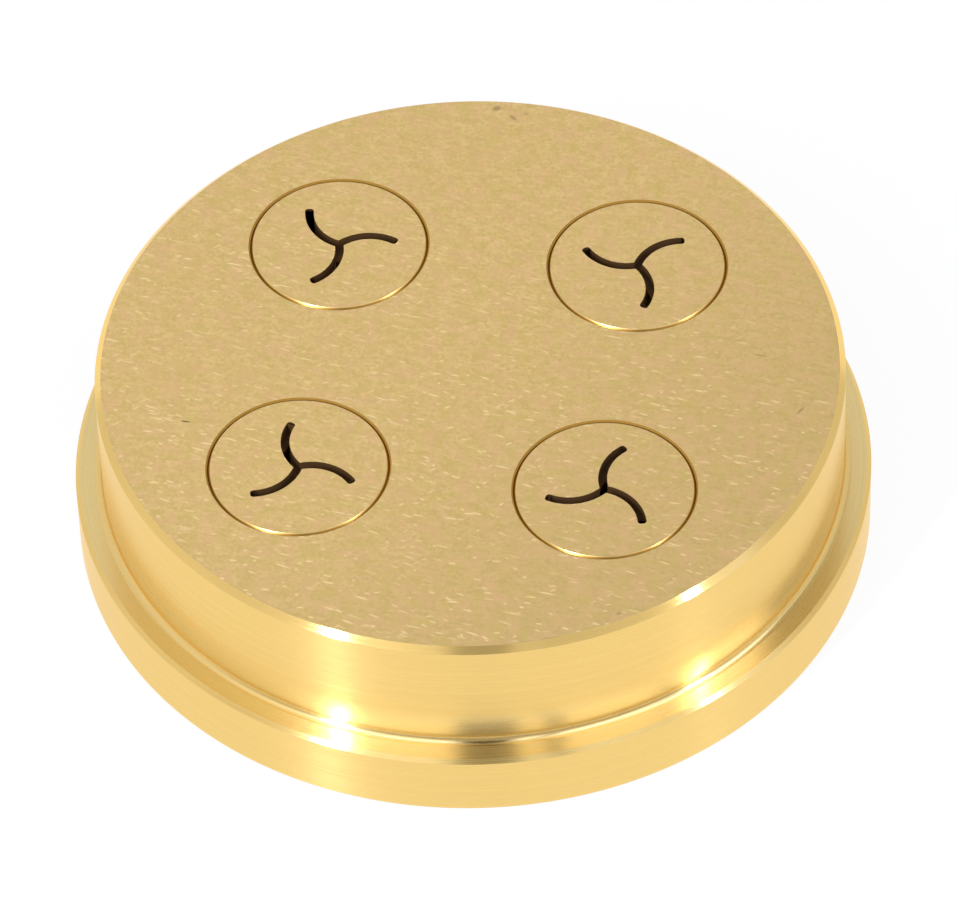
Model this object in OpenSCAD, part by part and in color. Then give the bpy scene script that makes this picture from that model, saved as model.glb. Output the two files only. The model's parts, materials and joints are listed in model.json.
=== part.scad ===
// Pasta extrusion die: a flanged brass disc with four pressed-in inserts.
// Dough is pushed in from the rear face and leaves through the curved three-arm slots in the front face.
// The rear face lies on z = 0 and the die's axis is Z.

/* [Die body] */
// Diameter of the clamping flange
flange_d = 59; // [57:0.5:75]
// Thickness of the clamping flange
flange_t = 5.3; // [3:0.1:10]
// Diameter of the nose that passes through the ring nut
nose_d = 55; // [50:0.5:57]
// Height of the nose above the flange
nose_h = 9.9; // [7:0.1:20]
// Chamfer on the nose's front edge
nose_chamfer = 0.45; // [0.1:0.05:1.5]
// Chamfer on the flange's front edge
rim_chamfer = 0.3; // [0.1:0.05:0.8]
// Chamfer on the flange's rear edge
rear_chamfer = 0.1; // [0.05:0.05:0.8]
// Radius of the fillet in the corner between nose and flange
corner_r = 0.55; // [0.1:0.05:1]

/* [Insert seats] */
// Diameter of the circle that the insert axes stand on
insert_pcd = 31.5; // [26:0.5:36]
// Radial clearance between an insert and its bore
fit_gap = 0.02; // [0.01:0.01:0.1]
// Chamfer on each bore's front edge
seat_chamfer = 0.05; // [0.03:0.01:0.4]
// Chamfer on each bore's mouth in the rear face
mouth_chamfer = 0.5; // [0.1:0.1:1]

/* [Inserts] */
// Diameter of an insert's front face
insert_d = 13.2; // [12:0.1:14.5]
// Length of an insert from its front face to its collar
insert_neck = 4.5; // [3:0.1:8]
// Diameter of the collar that seats on the bore's shoulder
collar_d = 15; // [13.6:0.1:18]
// Length of an insert from front to rear
insert_len = 11; // [8:0.1:15]
// Chamfer on an insert's outer edges
insert_chamfer = 0.18; // [0.05:0.01:0.3]

/* [Slots] */
// Width of a slot's arms
slot_w = 0.65; // [0.5:0.05:1.1]
// Diameter of the circle through the middles of the arms' ends
slot_span = 8.6; // [6:0.1:9.4]
// Radius of the two corners at an arm's end
end_r = 0.25; // [0.05:0.05:0.5]
// Radius of an arm's curve, measured to the middle of the slot
arm_r = 3.5; // [2.5:0.1:8]
// Turn of the slot in the front right insert, in degrees
turn_front_right = 113; // [0:0.5:120]
// Turn of the slot in the back right insert, in degrees
turn_back_right = 79; // [0:0.5:120]
// Turn of the slot in the back left insert, in degrees
turn_back_left = 46; // [0:0.5:120]
// Turn of the slot in the front left insert, in degrees
turn_front_left = 21.5; // [0:0.5:120]

/* [Inlets] */
// Diameter of the chamber behind a slot
chamber_d = 10.5; // [9.6:0.1:11.5]
// Thickness of the wall that the slot is cut through
land_t = 2.5; // [1.5:0.1:5]
// Chamfer on the chamber's mouth
inlet_chamfer = 0.6; // [0.1:0.1:1.5]

/* [Hidden] */
$fn = 96;

body_colour = [0.87, 0.71, 0.42];
insert_colour = [0.85, 0.72, 0.48];

slot_turns = [turn_front_right, turn_back_right, turn_back_left, turn_front_left];
insert_count = len(slot_turns);
insert_pitch = 360 / insert_count;
first_angle = -45;
arm_count = 3;
arm_pitch = 360 / arm_count;

flange_r = flange_d / 2;
nose_r = nose_d / 2;
front_z = flange_t + nose_h;

insert_r = insert_d / 2;
collar_r = collar_d / 2;
shoulder_z = front_z - insert_neck;
insert_rear_z = front_z - insert_len;

chamber_r = chamber_d / 2;
land_z = front_z - land_t;
chamber_end_r = (slot_span + slot_w) / 2;
chamber_taper = chamber_r - chamber_end_r;

// The two corners at an arm's end leave a sliver of flat between them
end_flat = 0.1;
tip_r = min(end_r, (slot_w - end_flat) / 2);

// An arm sweeps about its own centre until its end, which adds tip_r straight on, reaches slot_span
span_r = slot_span / 2;
end_reach = norm([arm_r, tip_r]);
end_angle = acos((arm_r ^ 2 + end_reach ^ 2 - span_r ^ 2) / (2 * arm_r * end_reach));
arm_sweep = end_angle - atan(tip_r / arm_r);
sector_r = 2 * (arm_r + slot_w);

// How far a cut runs past the face that it starts from
over = 1;

// Half section of the die body, with the axis at x = 0
module body_section() {
    difference() {
        union() {
            polygon([
                [0, 0],
                [flange_r - rear_chamfer, 0],
                [flange_r, rear_chamfer],
                [flange_r, flange_t - rim_chamfer],
                [flange_r - rim_chamfer, flange_t],
                [0, flange_t]
            ]);
            polygon([
                [0, 0],
                [nose_r, 0],
                [nose_r, front_z - nose_chamfer],
                [nose_r - nose_chamfer, front_z],
                [0, front_z]
            ]);
            square([nose_r + corner_r, flange_t + corner_r]);
        }
        translate([nose_r + corner_r, flange_t + corner_r])
            circle(corner_r);
    }
}

// Stepped bore for one insert: the neck's bore, the shoulder, and the collar's bore with its mouth
module seat() {
    neck_bore_r = insert_r + fit_gap;
    collar_bore_r = collar_r + fit_gap;
    rotate_extrude()
        polygon([
            [0, -over],
            [collar_bore_r + mouth_chamfer + over, -over],
            [collar_bore_r, mouth_chamfer],
            [collar_bore_r, shoulder_z],
            [neck_bore_r, shoulder_z],
            [neck_bore_r, front_z - seat_chamfer],
            [neck_bore_r + seat_chamfer + over, front_z + over],
            [0, front_z + over]
        ]);
}

// Half section of an insert with its inlet chamber, with the axis at x = 0
module insert_section() {
    polygon([
        [0, front_z],
        [insert_r - insert_chamfer, front_z],
        [insert_r, front_z - insert_chamfer],
        [insert_r, shoulder_z],
        [collar_r - insert_chamfer, shoulder_z],
        [collar_r, shoulder_z - insert_chamfer],
        [collar_r, insert_rear_z + insert_chamfer],
        [collar_r - insert_chamfer, insert_rear_z],
        [chamber_r + inlet_chamfer, insert_rear_z],
        [chamber_r, insert_rear_z + inlet_chamfer],
        [chamber_r, land_z - chamber_taper],
        [chamber_end_r, land_z],
        [0, land_z]
    ]);
}

// End of an arm: a flat end with two round corners, standing on the Y axis and pointing along +X
module arm_end() {
    flat_half = slot_w / 2 - tip_r;
    translate([0, -flat_half])
        square([tip_r, 2 * flat_half]);
    for (side = [0, 1])
        mirror([0, side])
            translate([0, flat_half])
                intersection() {
                    circle(tip_r);
                    square(tip_r);
                }
}

// One arm of a slot: an arc that leaves the insert's axis along +X and curves clockwise
module slot_arm() {
    translate([0, -arm_r]) {
        intersection() {
            difference() {
                circle(arm_r + slot_w / 2);
                circle(arm_r - slot_w / 2);
            }
            polygon([
                [0, 0],
                [0, sector_r],
                [sector_r * sin(arm_sweep / 2), sector_r * cos(arm_sweep / 2)],
                [sector_r * sin(arm_sweep), sector_r * cos(arm_sweep)]
            ]);
        }
        rotate(-arm_sweep)
            translate([0, arm_r])
                arm_end();
    }
}

// The whole slot, cut through the land into the chamber
module slot(turn) {
    translate([0, 0, land_z - over])
        linear_extrude(land_t + 2 * over)
            for (i = [0 : arm_count - 1])
                rotate(turn + i * arm_pitch)
                    slot_arm();
}

// Puts its children on the axis of insert i
module at_insert(i) {
    rotate(first_angle + i * insert_pitch)
        translate([insert_pcd / 2, 0, 0])
            rotate(-first_angle - i * insert_pitch)
                children();
}

module die_body() {
    color(body_colour)
        difference() {
            rotate_extrude()
                body_section();
            for (i = [0 : insert_count - 1])
                at_insert(i)
                    seat();
        }
}

module slot_insert(i) {
    color(insert_colour)
        at_insert(i)
            difference() {
                rotate_extrude()
                    insert_section();
                slot(slot_turns[i]);
            }
}

die_body();
for (i = [0 : insert_count - 1])
    slot_insert(i);
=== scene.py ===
import json
import math

import bmesh
import bpy
from mathutils import Matrix, Quaternion, Vector

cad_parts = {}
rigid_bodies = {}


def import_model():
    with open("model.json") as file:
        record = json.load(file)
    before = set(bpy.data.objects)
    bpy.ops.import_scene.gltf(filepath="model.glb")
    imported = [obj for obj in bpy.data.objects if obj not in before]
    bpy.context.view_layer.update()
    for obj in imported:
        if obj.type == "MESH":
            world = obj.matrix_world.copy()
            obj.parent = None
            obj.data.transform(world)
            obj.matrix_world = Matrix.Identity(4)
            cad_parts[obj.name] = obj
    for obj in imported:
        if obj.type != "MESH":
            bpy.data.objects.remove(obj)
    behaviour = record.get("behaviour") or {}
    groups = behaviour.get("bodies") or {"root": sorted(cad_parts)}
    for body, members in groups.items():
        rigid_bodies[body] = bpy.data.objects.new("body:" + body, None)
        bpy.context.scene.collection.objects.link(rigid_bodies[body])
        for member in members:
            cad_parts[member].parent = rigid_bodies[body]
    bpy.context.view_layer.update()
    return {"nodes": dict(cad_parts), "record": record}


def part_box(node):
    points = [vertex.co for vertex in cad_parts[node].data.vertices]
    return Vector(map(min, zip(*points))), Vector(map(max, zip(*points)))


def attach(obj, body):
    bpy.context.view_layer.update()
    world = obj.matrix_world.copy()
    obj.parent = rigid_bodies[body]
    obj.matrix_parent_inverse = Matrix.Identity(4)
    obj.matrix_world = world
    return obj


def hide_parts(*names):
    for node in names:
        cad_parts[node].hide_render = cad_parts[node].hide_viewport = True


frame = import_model()
print("frame loaded:", ", ".join(sorted(frame["nodes"])))

mm = 0.001
scene = bpy.context.scene
scene.view_settings.view_transform = "Standard"

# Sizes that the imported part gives, in millimetres
mounts = {m["name"]: m for m in frame["record"]["mounts"]}
bodyLow, bodyHigh = [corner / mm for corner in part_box("die_body")]
insertNames = sorted(name for name in frame["nodes"] if name.startswith("insert_"))


def insertAxis(name):
    low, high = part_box(name)
    middle = (low + high) / 2 / mm
    return middle.x, middle.y


# Camera at the photograph's angle
cameraSpot = {
    "turn": 8.377,               # degrees round the die's axis
    "height": 48.02,             # degrees above the floor
    "roll": -2.024,
    "distance": 539.1,           # mm from the front face
    "slide": (0.637, -6.248),    # mm across and up
    "lens": 277.23,
    "sensor": 36.0,
    "nearest": 0.01,             # m, nothing closer shows
}


def placeCamera():
    data = bpy.data.cameras.new("photoCamera")
    data.lens = cameraSpot["lens"]
    data.sensor_width = cameraSpot["sensor"]
    data.clip_start = cameraSpot["nearest"]
    camera = bpy.data.objects.new("photoCamera", data)
    turned = (
        Matrix.Rotation(math.radians(cameraSpot["turn"]), 3, "Z")
        @ Matrix.Rotation(math.radians(90 - cameraSpot["height"]), 3, "X")
        @ Matrix.Rotation(math.radians(cameraSpot["roll"]), 3, "Z")
    )
    offset = Vector((*cameraSpot["slide"], cameraSpot["distance"]))
    place = (Vector((0, 0, bodyHigh.z)) + turned @ offset) * mm
    camera.matrix_world = Matrix.Translation(place) @ turned.to_4x4()
    scene.collection.objects.link(camera)
    scene.camera = camera


placeCamera()
print("camera placed")


# Node helpers: a value in the dictionary is set, a socket is linked
def put(tree, kind, inputs=None, **settings):
    made = tree.nodes.new("ShaderNode" + kind)
    for name, value in settings.items():
        setattr(made, name, value)
    for name, value in (inputs or {}).items():
        if isinstance(value, bpy.types.NodeSocket):
            tree.links.new(value, made.inputs[name])
        else:
            made.inputs[name].default_value = value
    return made


def calc(tree, operation, first, second=0.0):
    return put(tree, "Math", {0: first, 1: second}, operation=operation).outputs[0]


def vector(tree, operation, first, second=(0, 0, 0)):
    made = put(tree, "VectorMath", {0: first, 1: second}, operation=operation)
    return made.outputs["Value" if operation in ("LENGTH", "DOT_PRODUCT") else "Vector"]


def flatLength(tree, point):
    return vector(tree, "LENGTH", vector(tree, "MULTIPLY", point, (1, 1, 0)))


def triple(tree, x, y, z=1.0):
    return put(tree, "CombineXYZ", {0: x, 1: y, 2: z}).outputs[0]


def turnPoint(tree, point, angle, centre=(0, 0, 0)):
    values = {"Vector": point, "Center": centre, "Angle": angle}
    return put(tree, "VectorRotate", values, rotation_type="Z_AXIS").outputs[0]


def remap(tree, value, fromLow, fromHigh, toLow=0.0, toHigh=1.0, ease="SMOOTHSTEP"):
    values = {0: value, 1: fromLow, 2: fromHigh, 3: toLow, 4: toHigh}
    return put(tree, "MapRange", values, interpolation_type=ease).outputs[0]


def blend(tree, share, first, second):
    return put(tree, "Mix", {0: share, 6: first, 7: second}, data_type="RGBA").outputs[2]


def blendValue(tree, share, first, second):
    return put(tree, "Mix", {0: share, 2: first, 3: second}).outputs[0]


def newGroup(name, inputs, outputs):
    tree = bpy.data.node_groups.new(name, "ShaderNodeTree")
    for label, kind, value in inputs:
        socket = tree.interface.new_socket(label, in_out="INPUT", socket_type="NodeSocket" + kind)
        if value is not None:
            socket.default_value = value
    for label, kind in outputs:
        tree.interface.new_socket(label, in_out="OUTPUT", socket_type="NodeSocket" + kind)
    taken = tree.nodes.new("NodeGroupInput").outputs
    given = tree.nodes.new("NodeGroupOutput").inputs
    return tree, taken, given


def groupOutputs(tree, group, inputs=None):
    return put(tree, "Group", inputs, node_tree=group).outputs


def newMaterial(name):
    material = bpy.data.materials.new(name)
    material.use_nodes = True
    tree = material.node_tree
    return material, tree, tree.nodes["Principled BSDF"]


def join(tree, shader, sockets):
    for name, socket in sockets.items():
        tree.links.new(socket, shader.inputs[name])


# Sizes of the body's outline, in millimetres
dieBody = {
    "flangeRadius": bodyHigh.x,
    "noseRadius": mounts["nose_spigot"]["dims"]["r_mm"],
    "flangeTop": mounts["flange_shoulder"]["pos_m"][2] / mm,
    "front": bodyHigh.z,
    "rear": bodyLow.z,
    "noseChamfer": 0.45,
    "rimChamfer": 0.3,
    "rearChamfer": 0.1,
    "cornerRadius": 0.55,
    "steps": 256,
    "cornerSteps": 8,
    "sharpFrom": 28,         # degrees between two faces
}


# Where a point of the die lies: in millimetres, with its distance from the axis and its height
def partPointGroup():
    outputs = [("Point", "Vector"), ("Radius", "Float"), ("Height", "Float")]
    tree, _, given = newGroup("partPoint", [], outputs)
    place = put(tree, "TexCoord").outputs["Object"]
    point = put(tree, "VectorMath", {0: place, 3: 1 / mm}, operation="SCALE").outputs[0]
    tree.links.new(point, given["Point"])
    tree.links.new(flatLength(tree, point), given["Radius"])
    tree.links.new(put(tree, "SeparateXYZ", {0: point}).outputs["Z"], given["Height"])
    return tree


# Straight dashes that a sanding block leaves, all in one direction: one in a share of the cells
dash = {
    "room": 1.3,             # length of a cell, in dashes
    "rowWidth": 0.6,         # mm
    "scatter": 0.8,          # how far the dashes leave the middles of their cells
    "half": (0.18, 0.6),     # half a dash, shortest and longest
    "strength": (0.25, 1.0),     # faintest and brightest
    "fade": (1.0, 0.3),      # from the edge of a dash to where it is full
}


def scratchLinesGroup():
    tree, taken, given = newGroup(
        "scratchLines",
        [("Point", "Vector", None), ("Turn", "Float", 0.0), ("Length", "Float", 1.5),
         ("Width", "Float", 0.12), ("Share", "Float", 0.1), ("Seed", "Float", 0.0)],
        [("Mask", "Float")],
    )
    spun = turnPoint(tree, taken["Point"], calc(tree, "RADIANS", taken["Turn"]))
    size = triple(tree, calc(tree, "MULTIPLY", taken["Length"], dash["room"]), dash["rowWidth"])
    shift = triple(tree, taken["Seed"], taken["Seed"], 0.0)
    spot = vector(tree, "ADD", vector(tree, "DIVIDE", spun, size), shift)
    values = {"Vector": spot, "Scale": 1.0, "Randomness": dash["scatter"]}
    found = put(tree, "TexVoronoi", values, voronoi_dimensions="2D").outputs
    offset = vector(tree, "MULTIPLY", vector(tree, "SUBTRACT", spot, found["Position"]), size)
    chance = put(tree, "SeparateColor", {0: found["Color"]}).outputs
    half = remap(tree, chance["Red"], 0.0, 1.0, *dash["half"], "LINEAR")
    halfLength = calc(tree, "MULTIPLY", taken["Length"], half)
    halfWidth = calc(tree, "MULTIPLY", taken["Width"], 0.5)
    away = flatLength(tree, vector(tree, "DIVIDE", offset, triple(tree, halfLength, halfWidth)))
    mask = remap(tree, away, *dash["fade"])
    mask = calc(tree, "MULTIPLY", mask, calc(tree, "LESS_THAN", chance["Green"], taken["Share"]))
    strength = remap(tree, chance["Blue"], 0.0, 1.0, *dash["strength"], "LINEAR")
    tree.links.new(calc(tree, "MULTIPLY", mask, strength), given["Mask"])
    return tree


# Fine rings that a lathe tool leaves, read along the tool's feed
ringNoise = {"Scale": 1.0, "Detail": 2.0, "Roughness": 0.6}


def toolRingsGroup():
    tree, taken, given = newGroup(
        "toolRings",
        [("Feed", "Float", 0.0), ("Pitch", "Float", 0.1), ("Seed", "Float", 0.0)],
        [("Ring", "Float")],
    )
    count = calc(tree, "DIVIDE", taken["Feed"], taken["Pitch"])
    count = calc(tree, "ADD", count, taken["Seed"])
    noise = put(tree, "TexNoise", {"W": count, **ringNoise}, noise_dimensions="1D")
    tree.links.new(noise.outputs[0], given["Ring"])
    return tree


# One soft oblong mark on the front face
markFade = (1.0, 0.3)        # from the edge of a mark to where it is full


def handMarkGroup():
    tree, taken, given = newGroup(
        "handMark",
        [("Point", "Vector", None), ("Place", "Vector", None), ("Turn", "Float", 0.0),
         ("Length", "Float", 1.0), ("Width", "Float", 0.2)],
        [("Mask", "Float")],
    )
    turn = calc(tree, "RADIANS", taken["Turn"])
    spun = turnPoint(tree, taken["Point"], turn, taken["Place"])
    local = vector(tree, "SUBTRACT", spun, taken["Place"])
    spread = vector(tree, "DIVIDE", local, triple(tree, taken["Length"], taken["Width"]))
    halves = vector(tree, "MULTIPLY", spread, (2, 2, 0))
    reach = vector(tree, "LENGTH", halves)
    tree.links.new(remap(tree, reach, *markFade), given["Mask"])
    return tree


partPoint = partPointGroup()
scratchLines = scratchLinesGroup()
toolRings = toolRingsGroup()
handMark = handMarkGroup()


# Front face of the body and the inserts, sanded flat together
lapped = {
    "brass": (0.798, 0.616, 0.284, 1),
    "shade": (0.690, 0.518, 0.202, 1),
    "olive": (0.670, 0.538, 0.176, 1),
    "rose": (0.785, 0.525, 0.289, 1),
    # painted highlight: brighter brass for the dashes, standing in for glints off the scratches
    "glint": (0.890, 0.710, 0.365, 1),
    "grime": (0.16, 0.105, 0.045, 1),
    # colour of the painted shade towards one side of the front face
    "dull": (0.520, 0.385, 0.158, 1),
    "roughness": 0.78,
    "roughSpread": 0.2,              # how far the grain changes it
    "dashPolish": 0.10,              # how much smoother a dash is
    "strokeTurn": 6,                 # degrees
    "strokes": [(0.25, 0.27, 1.0), (0.48, 0.32, 1.0), (1.3, 0.60, 2.0)],     # length, width, detail
    "strokeContrast": (0.38, 0.62),
    "strokeHeight": 0.10,
    "dashDepth": 0.6,
    "bumpDepth": 0.02,               # mm
    "duller": (0.85, -0.53),         # the side that is painted a little darker, painted shade
    "dullReach": (-6.0, 27.0),       # mm towards that side
    "dullShare": 0.30,
    "olivePatch": (1.2, 3.0),        # mm across, seed
    "rosePatch": (1.5, 31.0),
    "patchEdge": (0.40, 0.72),
    "patchShare": 0.35,
    # turn, length, width, share of cells, seed, strength
    "dashes": [
        (2.0, 1.1, 0.24, 0.12, 3.1, 0.9),
        (17.0, 1.3, 0.22, 0.15, 17.4, 1.0),
        (24.0, 0.8, 0.24, 0.11, 41.7, 0.8),
        (9.0, 1.6, 0.21, 0.10, 59.2, 1.0),
        (-36.0, 0.8, 0.22, 0.06, 77.8, 0.8),
        (-8.0, 0.7, 0.22, 0.07, 91.3, 0.8),
    ],
    "wearPatch": (13.0, 57.0),       # mm across the patches with more and with fewer dashes, seed
    "wearEdge": (0.35, 0.65),
    "wearShare": (0.7, 1.2),
    "worn": (-0.36, -0.93),          # the side with most dashes
    "wornReach": (-26.0, 4.0),       # mm towards that side
    "wornShare": 1.15,
    # place, turn, length, width, strength
    "marks": [
        ((-1.14, 26.33), 30, 1.0, 0.75, 0.32),
        ((0.20, 25.45), -40, 0.95, 0.45, 0.32),
        ((1.12, 25.96), 10, 0.6, 0.45, 0.16),
        ((-19.91, -7.61), -5, 1.0, 0.22, 0.8),
        ((21.06, 2.99), -5, 1.3, 0.12, 0.4),
        ((24.47, -2.14), 60, 1.3, 0.28, 0.3),
        ((8.9, -25.6), 15, 2.2, 0.5, 0.2),
        ((13.4, -22.79), 20, 0.6, 0.35, 0.25),
    ],
}


def cloud(tree, point, size, seed):
    moved = vector(tree, "ADD", point, (seed, -seed, 0))
    values = {"Vector": moved, "Scale": 1 / size, "Detail": 2.0}
    return put(tree, "TexNoise", values, noise_dimensions="2D").outputs[0]


def towards(tree, point, side):
    return vector(tree, "DOT_PRODUCT", point, (*side, 0))


def strongest(tree, masks):
    total = masks[0]
    for mask in masks[1:]:
        total = calc(tree, "MAXIMUM", total, mask)
    return total


# The even grain of the sanding, in long and short strokes
def sandingGrain(tree, point):
    spun = turnPoint(tree, point, math.radians(lapped["strokeTurn"]))
    grain = None
    for length, width, detail in lapped["strokes"]:
        stroke = vector(tree, "MULTIPLY", spun, (1 / length, 1 / width, 1))
        values = {"Vector": stroke, "Scale": 1.0, "Detail": detail}
        noise = put(tree, "TexNoise", values, noise_dimensions="2D").outputs[0]
        noise = calc(tree, "MULTIPLY", noise, 1 / len(lapped["strokes"]))
        grain = noise if grain is None else calc(tree, "ADD", grain, noise)
    return grain


# Dashes of sanding scratches, more of them on the worn side; the finish paints them brighter, a painted
# highlight
def sandingDashes(tree, point):
    masks = []
    for turn, length, width, share, seed, strength in lapped["dashes"]:
        values = {"Point": point, "Turn": turn, "Length": length, "Width": width}
        values.update({"Share": share, "Seed": seed})
        mask = groupOutputs(tree, scratchLines, values)["Mask"]
        masks.append(calc(tree, "MULTIPLY", mask, strength))
    patches = cloud(tree, point, *lapped["wearPatch"])
    worn = remap(tree, patches, *lapped["wearEdge"], *lapped["wearShare"])
    across = towards(tree, point, lapped["worn"])
    wornSide = remap(tree, across, *lapped["wornReach"], 0.0, lapped["wornShare"])
    worn = calc(tree, "MULTIPLY", worn, wornSide)
    return calc(tree, "MULTIPLY", strongest(tree, masks), worn)


def handMarks(tree, point):
    masks = []
    for place, turn, length, width, strength in lapped["marks"]:
        values = {"Point": point, "Place": (*place, 0), "Turn": -turn, "Length": length, "Width": width}
        masks.append(calc(tree, "MULTIPLY", groupOutputs(tree, handMark, values)["Mask"], strength))
    return strongest(tree, masks)


def lappedFinishGroup():
    colours = ("brass", "shade", "olive", "rose", "glint", "grime", "dull")
    inputs = [(name.capitalize(), "Color", lapped[name]) for name in colours]
    inputs.append(("Rough", "Float", lapped["roughness"]))
    outputs = [("Colour", "Color"), ("Roughness", "Float"), ("Height", "Float")]
    tree, taken, given = newGroup("lappedFinish", inputs, outputs)
    point = groupOutputs(tree, partPoint)["Point"]
    grain = sandingGrain(tree, point)
    bright = remap(tree, grain, *lapped["strokeContrast"], ease="LINEAR")
    colour = blend(tree, bright, taken["Shade"], taken["Brass"])
    # painted shade: the front face is painted darker towards one side
    aside = towards(tree, point, lapped["duller"])
    share = remap(tree, aside, *lapped["dullReach"], 0.0, lapped["dullShare"])
    colour = blend(tree, share, colour, taken["Dull"])
    # patches that shine a little green or pink
    for patch, tint in (("olivePatch", "Olive"), ("rosePatch", "Rose")):
        spots = cloud(tree, point, *lapped[patch])
        share = remap(tree, spots, *lapped["patchEdge"], 0.0, lapped["patchShare"])
        colour = blend(tree, share, colour, taken[tint])
    dashes = sandingDashes(tree, point)
    # painted highlight on the dashes; their bump and smoother roughness are the real scratches
    colour = blend(tree, dashes, colour, taken["Glint"])
    colour = blend(tree, handMarks(tree, point), colour, taken["Grime"])
    uneven = calc(tree, "MULTIPLY", calc(tree, "SUBTRACT", grain, 0.5), lapped["roughSpread"])
    rough = calc(tree, "ADD", taken["Rough"], uneven)
    rough = calc(tree, "SUBTRACT", rough, calc(tree, "MULTIPLY", dashes, lapped["dashPolish"]))
    raised = calc(tree, "MULTIPLY", grain, lapped["strokeHeight"])
    height = calc(tree, "SUBTRACT", raised, calc(tree, "MULTIPLY", dashes, lapped["dashDepth"]))
    tree.links.new(colour, given["Colour"])
    tree.links.new(rough, given["Roughness"])
    tree.links.new(height, given["Height"])
    return tree


lappedFinish = lappedFinishGroup()


def lappedBump(tree, height):
    values = {"Height": height, "Strength": 1.0, "Distance": lapped["bumpDepth"] * mm}
    return put(tree, "Bump", values).outputs[0]


def lappedMaterial():
    material, tree, shader = newMaterial("lappedBrass")
    finish = groupOutputs(tree, lappedFinish)
    normal = lappedBump(tree, finish["Height"])
    shader.inputs["Metallic"].default_value = 1.0
    join(tree, shader, {"Base Color": finish["Colour"], "Roughness": finish["Roughness"], "Normal": normal})
    return material


# Walls, step and edges of the body, left as the lathe made them: bright lands between dull furrows
turned = {
    "brass": (0.980, 0.690, 0.240, 1),
    "shade": (0.965, 0.668, 0.226, 1),
    # painted highlight: a paler copy of the brass, painted where the step, the fillet and the nose's foot
    # catch bright light
    "paleBrass": (0.950, 0.800, 0.420, 1),
    "grazing": (1.0, 0.93, 0.80, 1),     # colour at a flat angle
    # roughness of lands and furrows, share of lands, grain, the way that the tool was fed,
    # and how much paler the brass is painted all over, a painted highlight, and at the nose's foot, a
    # painted reflection
    "finishes": {
        "wall": dict(land=0.15, furrow=0.31, share=0.50, grain=1.0, feed="Height", tone=0.0, foot=0.65),
        "step": dict(land=0.12, furrow=0.40, share=0.52, grain=1.0, feed="Radius", tone=0.65, foot=0.0),
        "edge": dict(land=0.09, furrow=0.16, share=0.54, grain=0.6, feed="Radius", tone=0.0, foot=0.0),
        "rim": dict(land=0.18, furrow=0.32, share=0.50, grain=1.0, feed="Radius", tone=0.0, foot=0.0),
        "corner": dict(land=0.14, furrow=0.26, share=0.50, grain=1.0, feed="Height", tone=0.2, foot=0.0),
    },
    "acrossRings": 0.25,                 # a quarter turn, so that light spreads across the rings
    "fineRings": {"Pitch": 0.03, "Seed": 5.0},       # mm
    "broadRings": {"Pitch": 0.8, "Seed": 23.0},
    "boreRings": {"Pitch": 0.12, "Seed": 11.0},
    "ringShares": (0.6, 0.4),            # of fine and broad rings in the colour
    "ringContrast": (0.35, 0.65),
    "landEdge": 0.04,                    # how softly a land turns into a furrow
    "bump": {"Strength": 0.05, "Distance": 0.01 * mm},
    "footHeight": (8.6, 6.2),            # mm, where the nose is painted paler towards the flange, a painted reflection
    "footMargin": 0.1,                   # mm above the flange, where that ends
}


def turnedMaterial(name, finish):
    material, tree, shader = newMaterial(name)
    where = groupOutputs(tree, partPoint)
    feed = where[finish["feed"]]
    fine = groupOutputs(tree, toolRings, {"Feed": feed, **turned["fineRings"]})["Ring"]
    broad = groupOutputs(tree, toolRings, {"Feed": feed, **turned["broadRings"]})["Ring"]
    fineShare, broadShare = turned["ringShares"]
    ring = calc(tree, "MULTIPLY", fine, fineShare)
    ring = calc(tree, "ADD", ring, calc(tree, "MULTIPLY", broad, broadShare))
    colour = blend(tree, remap(tree, ring, *turned["ringContrast"]), turned["shade"], turned["brass"])
    # painted reflection: the nose is painted paler towards its foot, down to just above the flange
    foot = remap(tree, where["Height"], *turned["footHeight"], 0.0, finish["foot"])
    footEnd = dieBody["flangeTop"] + turned["footMargin"]
    foot = calc(tree, "MULTIPLY", foot, calc(tree, "GREATER_THAN", where["Height"], footEnd))
    # painted highlight: the step and the fillet are painted paler all over
    colour = blend(tree, calc(tree, "MAXIMUM", foot, finish["tone"]), colour, turned["paleBrass"])
    landEnd = finish["share"] - turned["landEdge"]
    furrowStart = finish["share"] + turned["landEdge"]
    rough = remap(tree, fine, landEnd, furrowStart, finish["land"], finish["furrow"])
    normal = put(tree, "Bump", {"Height": fine, **turned["bump"]}).outputs[0]
    shader.inputs["Metallic"].default_value = 1.0
    shader.inputs["Anisotropic"].default_value = finish["grain"]
    shader.inputs["Anisotropic Rotation"].default_value = turned["acrossRings"]
    shader.inputs["Specular Tint"].default_value = turned["grazing"]
    join(tree, shader, {"Base Color": colour, "Roughness": rough, "Normal": normal})
    return material


# Bores that the inserts sit in, with a dark brown line in the seam: painted shade where the gap between
# insert and body is shaded
seam = {
    # painted shade of the seam: brown on the insert's chamfer and flat dark brown on the bore's top
    "grime": (0.42, 0.225, 0.040, 1),
    "filled": (0.34, 0.185, 0.026, 1),
    "top": 0.01,             # mm under the front face, where the painted seam shade on the insert starts
    "bottom": 0.09,          # and where it is full
    "reach": 12.0,           # mm, height above which the seam's painted shade lies
    "roughness": 0.24,
    "roughSpread": 0.4,      # how much rougher the rings and the painted seam shade are
    "gloss": 0.1,
}


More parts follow.
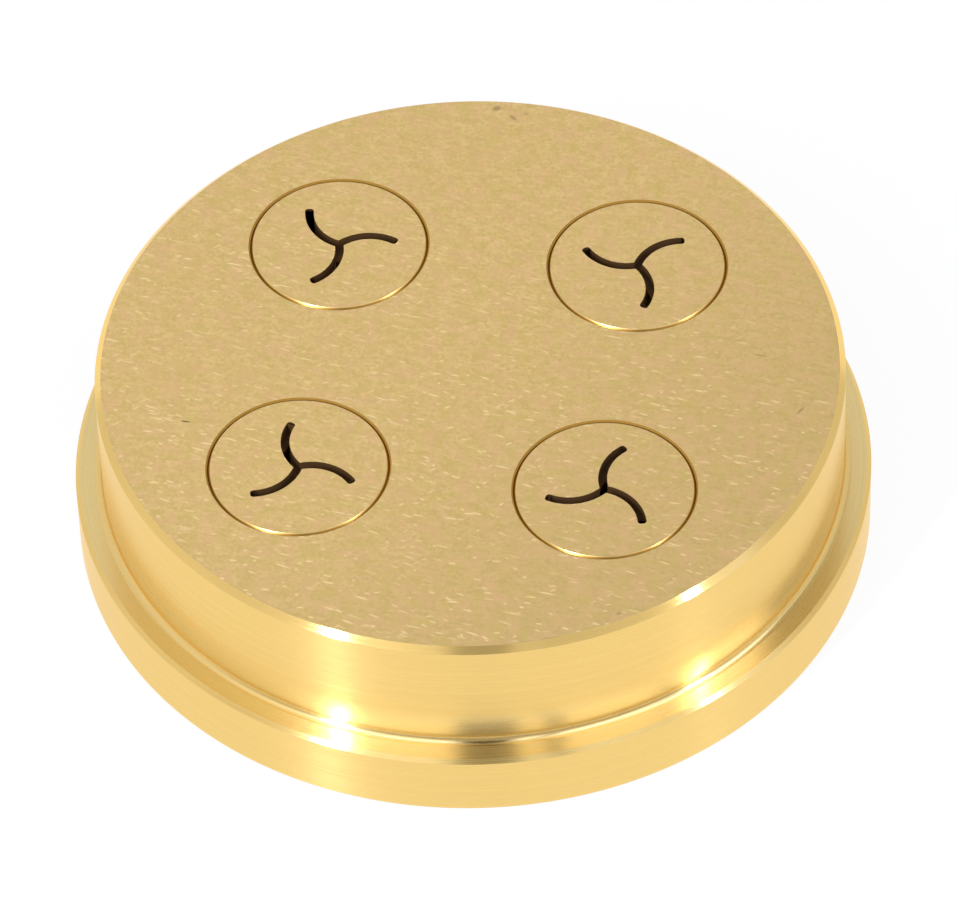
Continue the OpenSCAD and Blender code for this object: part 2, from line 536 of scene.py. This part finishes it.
def boreMaterial():
    material, tree, shader = newMaterial("boredBrass")
    where = groupOutputs(tree, partPoint)
    ring = groupOutputs(tree, toolRings, {"Feed": where["Height"], **turned["boreRings"]})["Ring"]
    colour = blend(tree, ring, turned["shade"], turned["brass"])
    # painted shade: the bore's top, round the seam, is painted a flat dark brown
    inSeam = calc(tree, "GREATER_THAN", where["Height"], seam["reach"])
    colour = blend(tree, inSeam, colour, seam["filled"])
    uneven = calc(tree, "MULTIPLY", calc(tree, "MAXIMUM", ring, inSeam), seam["roughSpread"])
    rough = calc(tree, "ADD", seam["roughness"], uneven)
    metal = calc(tree, "SUBTRACT", 1.0, inSeam)
    shader.inputs["Specular IOR Level"].default_value = seam["gloss"]
    join(tree, shader, {"Base Color": colour, "Roughness": rough, "Metallic": metal})
    return material


# Inserts: sanded with the body in front, dull and dark inside the slot
insert = {
    "cut": (0.105, 0.053, 0.018, 1),
    "deepCut": (0.75, 0.47, 0.22, 1),
    "cutDepth": (0.7, 2.4),      # mm under the front face, from one to the other
    "bore": (0.80, 0.545, 0.200, 1),
    "slotReach": 5.1,            # mm from the insert's axis, round the slot
    "chamberReach": 5.6,         # and round the chamber
    "darkFrom": 6.0,             # mm, height at which the chamber starts to darken
    "slotFloor": 12.6,           # mm, where the chamber ends and the slot begins
    "landTop": 0.012,            # mm under the front face
    "boreRoughness": 0.28,
    "slotRoughness": 0.8,
    "gloss": 0.05,
}


def insertMaterial():
    material, tree, shader = newMaterial("insertBrass")
    finish = groupOutputs(tree, lappedFinish)
    where = groupOutputs(tree, partPoint)
    height = where["Height"]
    axisX, axisY = (abs(v) for v in insertAxis(insertNames[0]))
    side = vector(tree, "ABSOLUTE", where["Point"])
    radius = flatLength(tree, vector(tree, "SUBTRACT", side, (axisX, axisY, 0)))
    below = calc(tree, "LESS_THAN", height, bodyHigh.z - insert["landTop"])
    # the slot is dull, and the chamber darkens towards it
    inside = calc(tree, "LESS_THAN", radius, insert["slotReach"])
    deep = remap(tree, height, insert["darkFrom"], insert["slotFloor"])
    dull = calc(tree, "MULTIPLY", below, calc(tree, "MAXIMUM", inside, deep))
    dull = calc(tree, "MULTIPLY", dull, calc(tree, "LESS_THAN", radius, insert["chamberReach"]))
    ring = groupOutputs(tree, toolRings, {"Feed": radius, **turned["boreRings"]})["Ring"]
    bore = blend(tree, ring, insert["bore"], turned["brass"])
    # painted shade: the insert's chamfer is painted brown just under the front face, along the seam
    inSeam = remap(tree, height, bodyHigh.z - seam["top"], bodyHigh.z - seam["bottom"])
    inSeam = calc(tree, "MULTIPLY", inSeam, calc(tree, "GREATER_THAN", height, seam["reach"]))
    bore = blend(tree, inSeam, bore, seam["grime"])
    colour = blend(tree, below, finish["Colour"], bore)
    inDepth = remap(tree, height, *(bodyHigh.z - depth for depth in insert["cutDepth"]))
    colour = blend(tree, dull, colour, blend(tree, inDepth, insert["cut"], insert["deepCut"]))
    rough = blendValue(tree, below, finish["Roughness"], insert["boreRoughness"])
    rough = blendValue(tree, dull, rough, insert["slotRoughness"])
    normal = lappedBump(tree, blendValue(tree, below, finish["Height"], 0.0))
    metal = calc(tree, "SUBTRACT", 1.0, dull)
    shader.inputs["Specular IOR Level"].default_value = insert["gloss"]
    join(tree, shader, {"Base Color": colour, "Roughness": rough, "Metallic": metal, "Normal": normal})
    return material


lappedBrass = lappedMaterial()
turnedBrass = {
    name: turnedMaterial("turned" + name.capitalize() + "Brass", finish)
    for name, finish in turned["finishes"].items()
}
boreBrass = boreMaterial()
insertBrass = insertMaterial()
print("materials made")


# A stepped seat for each insert, in millimetres
seat = {
    "neckRadius": 6.62,
    "collarRadius": 7.52,
    "shoulder": 10.7,
    "frontChamfer": 0.12,
    "mouthChamfer": 0.5,
    "steps": 128,
}

# How the body's faces are told apart
faceSort = {
    "near": 0.002,           # mm, points this close to a level or ring lie on it
    "merge": 0.0001,         # mm
    "flat": 0.999,           # upward part of a flat face's normal
    "upright": 0.02,         # and of a wall's
    "boreMargin": 2,         # mm inside the nose
    "rimMargin": 1,          # mm outside it
}

# Finishes of the body, in the order of its material slots
bodyFinishes = {
    "front": lappedBrass,
    "wall": turnedBrass["wall"],
    "step": turnedBrass["step"],
    "edge": turnedBrass["edge"],
    "bore": boreBrass,
    "rim": turnedBrass["rim"],
    "corner": turnedBrass["corner"],
}


def spinOutline(bm, outline, centre, steps):
    x, y = centre
    points = [bm.verts.new((x + r, y, z)) for r, z in outline]
    lines = [bm.edges.new(pair) for pair in zip(points, points[1:])]
    bmesh.ops.spin(bm, geom=points + lines, cent=(x, y, 0), axis=(0, 0, 1), angle=2 * math.pi,
                   steps=steps, use_merge=True)


def onLevel(part, height):
    return all(abs(v.co.z - height) < faceSort["near"] for v in part.verts)


def bevelRing(bm, radius, height, width, segments=1):
    ring = [e for e in bm.edges if onLevel(e, height)
            and all(abs(math.hypot(v.co.x, v.co.y) - radius) < faceSort["near"] for v in e.verts)]
    bmesh.ops.bevel(bm, geom=ring, offset=width, offset_type="OFFSET", affect="EDGES",
                    segments=segments, profile=0.5, material=-1, clamp_overlap=True)


def finishOf(face):
    d = dieBody
    middle = face.calc_center_median()
    radius = math.hypot(middle.x, middle.y)
    upward = abs(face.normal.z)
    if upward > faceSort["flat"]:
        return "front" if onLevel(face, d["front"]) else "step"
    if radius < d["noseRadius"] - faceSort["boreMargin"]:
        return "bore"
    if upward < faceSort["upright"]:
        return "wall"
    if radius > d["noseRadius"] + faceSort["rimMargin"]:
        return "rim"
    return "corner" if abs(middle.z - d["flangeTop"]) < 2 * d["cornerRadius"] else "edge"


def buildBody():
    d, s = dieBody, seat
    bm = bmesh.new()
    outline = [(0, d["rear"]), (d["flangeRadius"], d["rear"]), (d["flangeRadius"], d["flangeTop"]),
               (d["noseRadius"], d["flangeTop"]), (d["noseRadius"], d["front"]), (0, d["front"])]
    spinOutline(bm, outline, (0, 0), d["steps"])
    bmesh.ops.remove_doubles(bm, verts=bm.verts, dist=faceSort["merge"])
    bmesh.ops.recalc_face_normals(bm, faces=bm.faces)
    bevelRing(bm, d["flangeRadius"], d["rear"], d["rearChamfer"])
    bevelRing(bm, d["flangeRadius"], d["flangeTop"], d["rimChamfer"])
    bevelRing(bm, d["noseRadius"], d["flangeTop"], d["cornerRadius"], d["cornerSteps"])
    bevelRing(bm, d["noseRadius"], d["front"], d["noseChamfer"])
    # the end faces are filled again round the four seats
    caps = [f for f in bm.faces if onLevel(f, d["front"]) or onLevel(f, d["rear"])]
    bmesh.ops.delete(bm, geom=caps, context="FACES")
    bore = [(s["neckRadius"] + s["frontChamfer"], d["front"]),
            (s["neckRadius"], d["front"] - s["frontChamfer"]),
            (s["neckRadius"], s["shoulder"]), (s["collarRadius"], s["shoulder"]),
            (s["collarRadius"], d["rear"] + s["mouthChamfer"]),
            (s["collarRadius"] + s["mouthChamfer"], d["rear"])]
    for name in insertNames:
        spinOutline(bm, bore, insertAxis(name), s["steps"])
    bmesh.ops.remove_doubles(bm, verts=bm.verts, dist=faceSort["merge"])
    for level, normal in [(d["front"], (0, 0, 1)), (d["rear"], (0, 0, -1))]:
        rims = [e for e in bm.edges if e.is_boundary and onLevel(e, level)]
        bmesh.ops.triangle_fill(bm, edges=rims, use_beauty=True, use_dissolve=False, normal=normal)
    bmesh.ops.recalc_face_normals(bm, faces=bm.faces)
    order = list(bodyFinishes)
    for f in bm.faces:
        f.smooth = abs(f.normal.z) < faceSort["flat"]
        f.material_index = order.index(finishOf(f))
    for e in bm.edges:
        if len(e.link_faces) == 2:
            e.smooth = e.calc_face_angle() < math.radians(d["sharpFrom"])
    bmesh.ops.scale(bm, vec=(mm, mm, mm), verts=bm.verts)
    print("die body:", len(bm.faces), "faces,", sum(not e.is_manifold for e in bm.edges), "open edges")
    mesh = bpy.data.meshes.new("dieBody")
    bm.to_mesh(mesh)
    bm.free()
    piece = bpy.data.objects.new("dieBody", mesh)
    for material in bodyFinishes.values():
        mesh.materials.append(material)
    scene.collection.objects.link(piece)
    even = piece.modifiers.new("evenNormals", "WEIGHTED_NORMAL")
    even.keep_sharp = True
    even.weight = 100
    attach(piece, "root")
    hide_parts("die_body")


buildBody()
for name in insertNames:
    node = frame["nodes"][name]
    for place in node.material_slots:
        place.material = insertBrass
print("pieces made")


# Stage: a pale floor, a soft room and two lamps
stage = {
    "floorSize": 4.0,
    "floorDrop": 0.00005,
    "floorColour": (0.90, 0.90, 0.90, 1),
    "floorGlow": 0.90,           # how far the floor shows as plain white to the camera
    "floorShine": 1.0,           # and in the metal
    "underDie": (28.6, 29.4),    # mm from the axis, the floor doesn't show as white under the die
    # brightness round the room, by the turn from the camera in degrees, at four heights
    "horizon": [(-180, 0.72), (-119, 0.74), (-100, 0.80), (-78, 0.78), (-60, 0.50), (-40, 0.30),
                (60, 0.30), (75, 0.55), (93, 0.66), (106, 0.72), (119, 0.70), (140, 0.68), (180, 0.72)],
    "middle": [(-180, 0.78), (-120, 0.76), (-85, 0.82), (-63, 0.82), (-46, 0.90), (-28, 1.02),
               (-12, 0.80), (-5, 0.47), (6, 0.47), (11, 0.68), (28, 0.64), (46, 0.72), (60, 0.95),
               (78, 1.25), (95, 0.82), (110, 0.70), (140, 0.70), (180, 0.78)],
    "upper": [(-180, 0.80), (-126, 0.72), (-87, 0.94), (-65, 1.15), (-50, 1.8), (-12, 2.0),
              (-6.5, 0.05), (8.5, 0.05), (13, 1.85), (18.5, 1.85), (21, 0.15), (24.5, 0.15),
              (27, 1.95), (42, 2.1), (56, 2.2), (59, 0.25), (62.5, 0.25), (66, 2.4), (80, 2.7),
              (97, 2.7), (103, 0.24), (140, 0.36), (180, 0.80)],
    "overhead": [(-180, 0.80), (-60, 1.0), (-22, 1.0), (-14, 0.03), (16, 0.03), (24, 1.0),
                 (85, 1.0), (105, 0.50), (150, 0.60), (180, 0.80)],
    # where one height goes over into the next, by the upward part of the direction
    "rise": {"middle": (0.31, 0.56), "upper": (0.685, 0.715), "overhead": (0.93, 0.97)},
    "coolLight": (0.95, 1.0, 1.30),      # tint of the lamps and of the bright parts of the room
    "coolFrom": 1.2,                     # brightness above which the room has it
    # turn and height in degrees, width and length in m, lean in degrees
    "lamps": {
        "lampLeft": dict(turn=-31.7, height=35, width=0.032, tall=0.45, lean=10, bright=60.0),
        "lampRight": dict(turn=71.0, height=36.5, width=0.034, tall=0.33, lean=-27, bright=18.0),
    },
    "lampDistance": 0.7,
}


def buildFloor():
    bm = bmesh.new()
    bmesh.ops.create_grid(bm, x_segments=1, y_segments=1, size=stage["floorSize"] / 2)
    bmesh.ops.translate(bm, vec=(0, 0, -stage["floorDrop"]), verts=bm.verts)
    mesh = bpy.data.meshes.new("floor")
    bm.to_mesh(mesh)
    bm.free()
    floor = bpy.data.objects.new("floor", mesh)
    scene.collection.objects.link(floor)
    material, tree, _ = newMaterial("paleFloor")
    tree.nodes.clear()
    path = put(tree, "LightPath").outputs
    mirrored = calc(tree, "MAXIMUM", path["Is Glossy Ray"], path["Is Transmission Ray"])
    share = calc(tree, "MULTIPLY", mirrored, stage["floorShine"])
    share = calc(tree, "MAXIMUM", share, calc(tree, "MULTIPLY", path["Is Camera Ray"], stage["floorGlow"]))
    radius = groupOutputs(tree, partPoint)["Radius"]
    share = calc(tree, "MULTIPLY", share, remap(tree, radius, *stage["underDie"]))
    matt = put(tree, "BsdfDiffuse", {"Color": stage["floorColour"]}).outputs[0]
    white = put(tree, "Emission", {"Color": (1, 1, 1, 1), "Strength": 1.0}).outputs[0]
    mixed = put(tree, "MixShader", {0: share, 1: matt, 2: white}).outputs[0]
    put(tree, "OutputMaterial", {"Surface": mixed})
    mesh.materials.append(material)


def roomLayer(tree, around, stops):
    made = put(tree, "ValToRGB", {0: around})
    points = made.color_ramp.elements
    while len(points) < len(stops):
        points.new(0.5)
    for point, (turn, level) in zip(points, stops):
        point.position = turn / 360 + 0.5
        tint = stage["coolLight"] if level > stage["coolFrom"] else (1, 1, 1)
        point.color = (*(level * share for share in tint), 1)
    return made.outputs[0]


def buildRoom():
    world = bpy.data.worlds.new("softRoom")
    scene.world = world
    world.use_nodes = True
    tree = world.node_tree
    tree.nodes.clear()
    way = vector(tree, "NORMALIZE", put(tree, "TexCoord").outputs["Generated"])
    spun = turnPoint(tree, way, math.radians(90 - cameraSpot["turn"]))
    around = put(tree, "TexGradient", {"Vector": spun}, gradient_type="RADIAL").outputs[1]
    height = put(tree, "SeparateXYZ", {0: way}).outputs["Z"]
    room = roomLayer(tree, around, stage["horizon"])
    for name, band in stage["rise"].items():
        room = blend(tree, remap(tree, height, *band), room, roomLayer(tree, around, stage[name]))
    path = put(tree, "LightPath").outputs
    room = blend(tree, path["Is Camera Ray"], room, (1, 1, 1, 1))
    shine = put(tree, "Background", {"Color": room, "Strength": 1.0}).outputs[0]
    put(tree, "OutputWorld", {"Surface": shine})


def aim(turn, height):
    a, e = math.radians(turn), math.radians(height)
    return Vector((math.sin(a) * math.cos(e), -math.cos(a) * math.cos(e), math.sin(e)))


def buildLamps():
    for name, lamp in stage["lamps"].items():
        data = bpy.data.lights.new(name, "AREA")
        data.shape = "RECTANGLE"
        data.size = lamp["width"]
        data.size_y = lamp["tall"]
        data.energy = lamp["bright"] * math.pi * lamp["width"] * lamp["tall"]
        data.color = stage["coolLight"]
        light = bpy.data.objects.new(name, data)
        way = aim(lamp["turn"], lamp["height"])
        light.location = way * stage["lampDistance"]
        leaning = way.to_track_quat("Z", "Y") @ Quaternion((0, 0, 1), math.radians(lamp["lean"]))
        light.rotation_euler = leaning.to_euler()
        scene.collection.objects.link(light)


buildFloor()
buildRoom()
buildLamps()
print("stage made")
